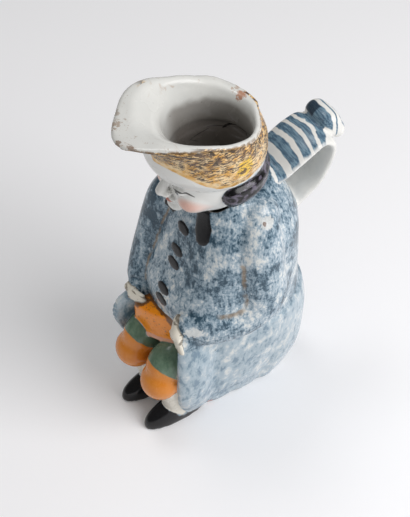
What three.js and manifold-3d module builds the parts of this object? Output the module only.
// A toby jug: a seated figure in a long blue coat, cast as one hollow piece of glazed earthenware.
// The open hat is the mouth and its front corner is the spout. A strap handle with a rolled
// thumb piece joins the back of the hat to the back of the coat.
// Millimetres, +Z up, the figure faces -Y and its left hand is at +X. The floor is z = 0.
import * as THREE from "three";
import { mergeVertices } from "three/addons/utils/BufferGeometryUtils.js";
import Module from "manifold-3d";

// ---- Driving dimensions ----
const SPOUT_TOP = 257; // floor to the spout's tip
const WALL = 5; // thickness of the cast wall
const FLOOR = 6; // thickness of the vessel's floor
const HAT_FOOT = 219; // where the hat meets the head
const COAT_TOP = 192; // where the collar meets the neck
const LAP = 76; // level of the lap, under the hands
const HAND = { x: 20, y: -56, z: 91 };
const KNEE = { x: 17, y: -60, z: 42 };
const SHOE = { x: 14, toe: -78, heel: -36, half: 10, high: 14 };
const RECESS = 2; // depth of the hollow under the foot
const CENTRE = { x: -1, y: -2 }; // the middle of the jug's box, which stands on the origin

// Level sections of the coat: half width, front and back.
const COAT = [
  { z: 0, half: 28.5, front: -47, back: 49 },
  { z: 28, half: 33, front: -50, back: 53 },
  { z: 66, half: 37.5, front: -53, back: 52 },
  { z: 90, half: 40, front: -54, back: 47 },
  { z: 112, half: 42, front: -57, back: 41 },
  { z: 138, half: 41.5, front: -47, back: 36 },
  { z: 162, half: 38, front: -39, back: 31 },
  { z: 180, half: 30, front: -32, back: 23 },
  { z: COAT_TOP, half: 24, front: -28, back: 16 },
];
const COAT_SQUARE = [2.6, 2]; // how square the coat is in front and behind

// The rim of the hat from the spout's tip to the back: half width on the left and right, height.
const RIM = [
  { y: -80.5, left: 0, right: 0, z: SPOUT_TOP },
  { y: -79, left: 7, right: 7, z: SPOUT_TOP },
  { y: -75.5, left: 11, right: 12, z: SPOUT_TOP + 1 },
  { y: -68, left: 18, right: 21, z: SPOUT_TOP + 2 },
  { y: -58, left: 25, right: 31, z: SPOUT_TOP + 3 },
  { y: -47, left: 31.5, right: 37, z: SPOUT_TOP + 2 },
  { y: -36, left: 37, right: 38.5, z: SPOUT_TOP },
  { y: -27, left: 38.5, right: 37.5, z: SPOUT_TOP - 3 },
  { y: -17, left: 36, right: 35.5, z: SPOUT_TOP - 5 },
  { y: -8, left: 30.5, right: 32.5, z: SPOUT_TOP - 8 },
  { y: 0, left: 22.5, right: 28, z: SPOUT_TOP - 10 },
  { y: 6, left: 13, right: 21, z: SPOUT_TOP - 12 },
  { y: 10, left: 5, right: 12, z: SPOUT_TOP - 12 },
  { y: 11.5, left: 0, right: 0, z: SPOUT_TOP - 12 },
];
const RIM_MIDDLE = -30; // the point of the mouth the rim's angles are taken about

// Level sections of the head, from under the chin to inside the hat.
const HEAD = [
  { z: 184, half: 9, front: -34, back: -2 },
  { z: 187, half: 18, front: -41, back: 4 },
  { z: 195, half: 26, front: -46, back: 9 },
  { z: 207, half: 29.5, front: -48, back: 12 },
  { z: 218, half: 30.5, front: -49, back: 13 },
  { z: 228, half: 30, front: -53, back: 12 },
];

// The space inside: the coat and head less the wall, opening out into the mouth.
const CAVITY = [
  { z: FLOOR, half: 12, front: -26, back: 32 },
  { z: FLOOR + 6, half: 22, front: -32, back: 42 },
  { z: 30, half: 27, front: -35, back: 47 },
  { z: 66, half: 31.5, front: -38, back: 46.5 },
  { z: 90, half: 34, front: -44, back: 41.5 },
  { z: 112, half: 36, front: -50.5, back: 35.5 },
  { z: 138, half: 35.5, front: -41, back: 30.5 },
  { z: 162, half: 32, front: -33, back: 24 },
  { z: 180, half: 23, front: -27, back: 15 },
  { z: COAT_TOP, half: 18, front: -29, back: 7 },
  { z: 206, half: 23, front: -39, back: 6 },
  { z: 220, half: 24.5, front: -41, back: 7 },
];

const { Manifold, Mesh } = await loadSolids();

async function loadSolids() {
  const wasm = await Module();
  wasm.setup();
  return wasm;
}

// ---- Curves and solids ----

/** A smooth value through the rows of a table, read at `at` of the column `by`. */
function smooth(rows, key, at, by = "z") {
  let i = 0;
  while (i < rows.length - 2 && at > rows[i + 1][by]) i++;
  const slope = (k) => {
    const a = rows[Math.max(k - 1, 0)];
    const b = rows[Math.min(k + 1, rows.length - 1)];
    return (b[key] - a[key]) / (b[by] - a[by]);
  };
  const a = rows[i];
  const b = rows[i + 1];
  const span = b[by] - a[by];
  const t = THREE.MathUtils.clamp((at - a[by]) / span, 0, 1);
  const u = t * t * (3 - 2 * t);
  const bendA = slope(i) * span * t * (1 - t) * (1 - t);
  const bendB = slope(i + 1) * span * t * t * (1 - t);
  return a[key] * (1 - u) + b[key] * u + bendA - bendB;
}

/** The point of a rounded-square outline at an angle from the front, squarer in front or behind. */
function squircle(angle, [front, behind]) {
  const s = Math.sin(angle);
  const c = Math.cos(angle);
  const square = c > 0 ? front : behind;
  const r = (Math.abs(s) ** square + Math.abs(c) ** square) ** (-1 / square);
  return [s * r, -c * r];
}

/** A closed solid from a unit drum whose every vertex (angle, 0 to 1 height, 0 to 1 radius) is placed. */
function drum(around, along, place) {
  const geometry = new THREE.CylinderGeometry(1, 1, 1, around, along);
  const p = geometry.attributes.position;
  for (let i = 0; i < p.count; i++) {
    const radius = Math.hypot(p.getX(i), p.getZ(i));
    const angle = Math.atan2(p.getX(i), p.getZ(i));
    const [x, y, z] = place(angle, p.getY(i) + 0.5, radius);
    p.setXYZ(i, x, y, z);
  }
  return solid(geometry);
}

/** The manifold-3d solid of a closed geometry. */
function solid(geometry) {
  const bare = geometry.clone();
  for (const name of Object.keys(bare.attributes)) {
    if (name !== "position") bare.deleteAttribute(name);
  }
  const merged = mergeVertices(bare, 1e-4);
  const made = new Manifold(
    new Mesh({
      numProp: 3,
      vertProperties: new Float32Array(merged.attributes.position.array),
      triVerts: new Uint32Array(merged.index.array),
    }),
  );
  if (made.volume() > 0) return made;
  const flipped = merged.index.array.slice();
  for (let i = 0; i < flipped.length; i += 3) {
    [flipped[i + 1], flipped[i + 2]] = [flipped[i + 2], flipped[i + 1]];
  }
  return new Manifold(
    new Mesh({
      numProp: 3,
      vertProperties: new Float32Array(merged.attributes.position.array),
      triVerts: new Uint32Array(flipped),
    }),
  );
}

/** A solid through level sections, with `bend` moving each point once it is placed. */
function loft(rows, around, along, square, bend = (point) => point) {
  const low = rows[0].z;
  const high = rows[rows.length - 1].z;
  return drum(around, along, (angle, t, radius) => {
    const z = low + t * (high - low);
    const half = smooth(rows, "half", z);
    const front = smooth(rows, "front", z);
    const back = smooth(rows, "back", z);
    const [u, v] = squircle(angle, square);
    return bend([
      u * radius * half,
      (front + back) / 2 + (v * radius * (back - front)) / 2,
      z,
    ]);
  });
}

/** A ball with three half sizes, turned and placed. */
function blob(centre, half, turn = [0, 0, 0], around = 16, along = 10) {
  const geometry = new THREE.SphereGeometry(1, around, along);
  geometry.scale(...half);
  geometry.applyMatrix4(
    new THREE.Matrix4()
      .makeRotationFromEuler(new THREE.Euler(...turn))
      .setPosition(...centre),
  );
  return solid(geometry);
}

/**
 * A round-ended limb through stations of a centre and two half sizes: `thick` along `side`,
 * `wide` square to it and to the limb.
 */
function limb(stations, side, around, along) {
  const path = new THREE.CatmullRomCurve3(
    stations.map((s) => new THREE.Vector3(...s.at)),
  );
  const rows = stations.map((s, i) => ({
    t: i / (stations.length - 1),
    wide: s.wide,
    thick: s.thick,
  }));
  const across = new THREE.Vector3();
  const out = new THREE.Vector3();
  return drum(around, along, (angle, t, radius) => {
    const centre = path.getPoint(t);
    const tangent = path.getTangent(t);
    across.set(...side).addScaledVector(tangent, -across.dot(tangent)).normalize();
    out.crossVectors(tangent, across).normalize();
    const end = Math.min(t, 1 - t) / 0.12;
    const cap = end < 1 ? Math.sqrt(1 - (1 - end) ** 2) * 0.75 + 0.25 : 1;
    const wide = smooth(rows, "wide", t, "t") * cap * radius;
    const thick = smooth(rows, "thick", t, "t") * cap * radius;
    centre.addScaledVector(across, Math.sin(angle) * thick);
    centre.addScaledVector(out, Math.cos(angle) * wide);
    return centre.toArray();
  });
}

/** The same solid on the figure's left and right. */
function both(one) {
  return one.add(one.mirror([1, 0, 0]));
}

/** A box from its low and high corners. */
function block(low, high) {
  const size = high.map((v, i) => v - low[i]);
  const geometry = new THREE.BoxGeometry(...size);
  geometry.translate(...low.map((v, i) => v + size[i] / 2));
  return solid(geometry);
}

// ---- The figure ----

/** The height of the rim over a place between the spout and the back. */
function rimHeight(y) {
  const at = THREE.MathUtils.clamp(y, RIM[0].y, RIM[RIM.length - 1].y);
  return smooth(RIM, "z", at, "y");
}

/** The mouth's outline at an angle from the front, `inset` from the rim's outside. */
function mouth(angle, inset) {
  const side = angle > 0 ? "left" : "right";
  const turn = Math.abs(angle);
  const bearing = (row) => Math.atan2(row[side], RIM_MIDDLE - row.y);
  let i = 0;
  while (i < RIM.length - 2 && turn > bearing(RIM[i + 1])) i++;
  const a = bearing(RIM[i]);
  const b = bearing(RIM[i + 1]);
  const t = THREE.MathUtils.clamp((turn - a) / (b - a), 0, 1);
  const reach = (row) => Math.hypot(row[side], RIM_MIDDLE - row.y);
  const r = THREE.MathUtils.lerp(reach(RIM[i]), reach(RIM[i + 1]), t) - inset;
  return [Math.sin(angle) * r, RIM_MIDDLE - Math.cos(angle) * r];
}

/** The hat's wall between the head and the rim, `inset` from its outside. */
function hatWall(inset, foot, around, along) {
  const rows = [
    foot,
    { t: 0.25, half: 34.5 - inset, front: -51 + inset, back: 18 - inset, share: 0.05 },
    { t: 0.6, half: 36.5 - inset, front: -57 + inset, back: 16 - inset, share: 0.35 },
    { t: 1, half: 38 - inset, front: -80 + inset, back: 11 - inset, share: 1 },
  ];
  return drum(around, along, (angle, t, radius) => {
    const half = smooth(rows, "half", t, "t");
    const front = smooth(rows, "front", t, "t");
    const back = smooth(rows, "back", t, "t");
    const share = THREE.MathUtils.clamp(smooth(rows, "share", t, "t"), 0, 1);
    const [u, v] = squircle(angle, [2, 2]);
    const [mx, my] = mouth(angle, inset);
    const middle = (front + back) / 2;
    const edge = middle + (v * (back - front)) / 2;
    const x = (u * half * (1 - share) + mx * share) * radius;
    const y = middle + (edge * (1 - share) + my * share - middle) * radius;
    const top = rimHeight(y) + (inset ? 1 : 0);
    return [x, y, foot.z + t * (top - foot.z)];
  });
}

function hat() {
  const foot = { t: 0, z: HAT_FOOT, half: 31, front: -50, back: 15, share: 0 };
  const crown = { t: 0, z: 218, half: 24.3, front: -40.8, back: 6.8, share: 0 };
  const outside = hatWall(0, foot, 40, 6);
  const inside = hatWall(WALL, crown, 32, 5);
  return { outside, inside };
}

function head() {
  const skull = loft(HEAD, 24, 7, [2.1, 2.1]);
  const nose = blob([0, -50, 206], [4.6, 6.5, 9], [0.5, 0, 0], 12, 8);
  const chin = blob([0, -43, 190.5], [7, 6, 5], [0, 0, 0], 12, 6);
  const lips = blob([0, -46, 197.5], [6, 3.6, 2.6], [0, 0, 0], 10, 6);
  const cheek = both(blob([14, -40, 201], [9, 7, 8], [0, 0, 0.5], 12, 8));
  return skull.add(nose).add(chin).add(lips).add(cheek);
}

/** The rolled hair under the hat, from one temple round the back to the other. */
function hair() {
  const turns = 14;
  const reach = THREE.MathUtils.degToRad(118);
  const stations = [];
  for (let i = 0; i <= turns; i++) {
    const angle = Math.PI + ((i / turns) * 2 - 1) * reach;
    stations.push({
      at: [Math.sin(angle) * 28, -18 - Math.cos(angle) * 28, 206],
      wide: 6.5,
      thick: 9.5,
    });
  }
  return limb(stations, [0, 0, 1], 8, 22);
}

/** The left arm, bent at the elbow, and the right one, which reaches straight down in front. */
function arms() {
  const left = limb(
    [
      { at: [26, 0, 180], wide: 12, thick: 11 },
      { at: [33, 1, 166], wide: 16, thick: 14 },
      { at: [35, 9, 137], wide: 17, thick: 14 },
      { at: [35, 8, 110], wide: 19, thick: 14 },
      { at: [33, -14, 96], wide: 21, thick: 12 },
      { at: [27, -42, 92], wide: 19, thick: 10 },
      { at: [23, -54, 92], wide: 17, thick: 8 },
    ],
    [1, 0, 0],
    12,
    14,
  );
  const right = limb(
    [
      { at: [-22, -16, 183], wide: 12, thick: 11 },
      { at: [-30, -27, 168], wide: 15, thick: 13 },
      { at: [-35, -34, 148], wide: 15, thick: 13.5 },
      { at: [-36, -42, 122], wide: 15, thick: 13.5 },
      { at: [-32, -50, 98], wide: 15, thick: 12.5 },
      { at: [-27, -54, 88], wide: 14, thick: 11 },
    ],
    [1, 0, 0],
    12,
    12,
  );
  return left.add(right).add(both(hand()));
}

/** A hand closed on the lap: a palm and four fingers that point in and down. */
function hand() {
  let made = blob([HAND.x, HAND.y, HAND.z - 2], [8, 7, 10], [0, 0.3, 0], 10, 7);
  for (let i = 0; i < 4; i++) {
    const drop = HAND.z - 11 + i * 5;
    made = made.add(
      blob([HAND.x - 3, HAND.y - 3, drop], [7.5, 4.5, 3.6], [0, -0.5, 0], 6, 4),
    );
  }
  return made;
}

/** The buff waistcoat below the coat's front edge, swelling over the lap. */
function waistcoat() {
  return blob([0, -46, 86], [26, 18, 17], [0.12, 0, 0], 18, 9);
}

function legs() {
  const thigh = blob([KNEE.x, -50, 60], [15.5, 20, 19], [0.35, 0, 0], 14, 8);
  const puff = blob([KNEE.x, KNEE.y, KNEE.z - 3], [16, 19, 16], [0, 0, 0], 14, 9);
  const calf = limb(
    [
      { at: [15, -52, 36], wide: 10, thick: 10 },
      { at: [15, -54, 20], wide: 10, thick: 10 },
      { at: [15, -54, 6], wide: 9, thick: 9 },
    ],
    [1, 0, 0],
    10,
    3,
  );
  return both(thigh.add(puff).add(calf).add(shoe()));
}

function shoe() {
  const rows = [
    { z: -2, half: 9, front: SHOE.toe + 1, back: SHOE.heel },
    { z: 3, half: SHOE.half, front: SHOE.toe, back: SHOE.heel },
    { z: 8, half: 9, front: SHOE.toe + 3, back: SHOE.heel },
    { z: 12, half: 7, front: SHOE.toe + 9, back: SHOE.heel },
    { z: SHOE.high, half: 4, front: SHOE.toe + 15, back: SHOE.heel },
  ];
  return loft(rows, 16, 4, [2.2, 2.2], ([x, y, z]) => [x + SHOE.x, y, z]);
}

/** The edge of the coat turned out beside the right knee. */
function lapel() {
  return limb(
    [
      { at: [-24, -48, 96], wide: 10, thick: 7 },
      { at: [-29, -60, 80], wide: 10, thick: 7 },
      { at: [-30, -64, 66], wide: 10, thick: 7 },
      { at: [-27, -52, 48], wide: 9, thick: 6 },
      { at: [-22, -40, 18], wide: 6, thick: 5 },
    ],
    [1, 0, 0],
    10,
    8,
  );
}

/** The long coat with the gap in front where the legs come out. */
function coat() {
  const cloth = loft(COAT, 36, 16, COAT_SQUARE);
  const gap = loft(
    [
      { z: -1, half: 21, front: -90, back: -36 },
      { z: 40, half: 20, front: -90, back: -36 },
      { z: LAP, half: 18, front: -90, back: -36 },
      { z: LAP + 12, half: 14, front: -90, back: -38 },
    ],
    16,
    4,
    [4, 4],
  );
  return cloth.subtract(gap);
}

/** The strap handle: a flat band bent in a small ring, with a rolled thumb piece on top. */
function handle() {
  const path = new THREE.CatmullRomCurve3(
    [
      [0, 8, 195],
      [0, 26, 191],
      [0, 42, 198],
      [0, 54, 203],
      [0, 62, 195],
      [0, 60, 178],
      [0, 52, 164],
      [0, 40, 155],
      [0, 24, 150],
    ].map((p) => new THREE.Vector3(...p)),
  );
  const rows = [
    { t: 0, wide: 15, thick: 4.5 },
    { t: 0.3, wide: 14, thick: 4.2 },
    { t: 0.6, wide: 12.5, thick: 4 },
    { t: 1, wide: 11, thick: 4.5 },
  ];
  const strap = drum(12, 22, (angle, t, radius) => {
    const centre = path.getPoint(t);
    const tangent = path.getTangent(t);
    const out = new THREE.Vector3(0, -tangent.z, tangent.y);
    const [u, v] = squircle(angle, [2.8, 2.8]);
    centre.addScaledVector(out, v * radius * smooth(rows, "thick", t, "t"));
    centre.x += u * radius * smooth(rows, "wide", t, "t");
    return centre.toArray();
  });
  const roll = blob([0, 59, 212], [14.5, 9, 10.5], [0.4, 0, 0], 12, 8);
  const lip = blob([0, 69, 202], [13, 7, 8], [0.4, 0, 0], 10, 6);
  return strap.add(roll).add(lip);
}

/** The hollow under the foot, so that the jug rests on a ring. */
function recess() {
  const rows = [
    { z: -1, half: 17, front: -30, back: 38 },
    { z: RECESS, half: 16, front: -29, back: 37 },
  ];
  return loft(rows, 20, 1, [2.4, 2]);
}

function jug() {
  const brim = hat();
  const outside = coat()
    .add(arms())
    .add(lapel())
    .add(waistcoat())
    .add(legs())
    .add(head())
    .add(hair())
    .add(handle())
    .add(brim.outside);
  const belowFloor = block([-100, -120, -40], [100, 120, 0]);
  return outside
    .subtract(loft(CAVITY, 24, 12, [2.4, 2]))
    .subtract(brim.inside)
    .subtract(recess())
    .subtract(belowFloor);
}

/** A manifold-3d solid as a geometry. */
function geometryOf(made) {
  const mesh = made.getMesh();
  const geometry = new THREE.BufferGeometry();
  geometry.setAttribute(
    "position",
    new THREE.BufferAttribute(new Float32Array(mesh.vertProperties), 3),
  );
  geometry.setIndex(new THREE.BufferAttribute(new Uint32Array(mesh.triVerts), 1));
  geometry.computeVertexNormals();
  return geometry;
}

const glaze = new THREE.MeshStandardMaterial({
  color: 0x8fa6b8,
  roughness: 0.22,
  metalness: 0,
});
const body = new THREE.Mesh(geometryOf(jug()), glaze);
body.name = "jug";
body.position.set(-CENTRE.x, -CENTRE.y, 0);

const figure = new THREE.Group();
figure.add(body);

export default figure;
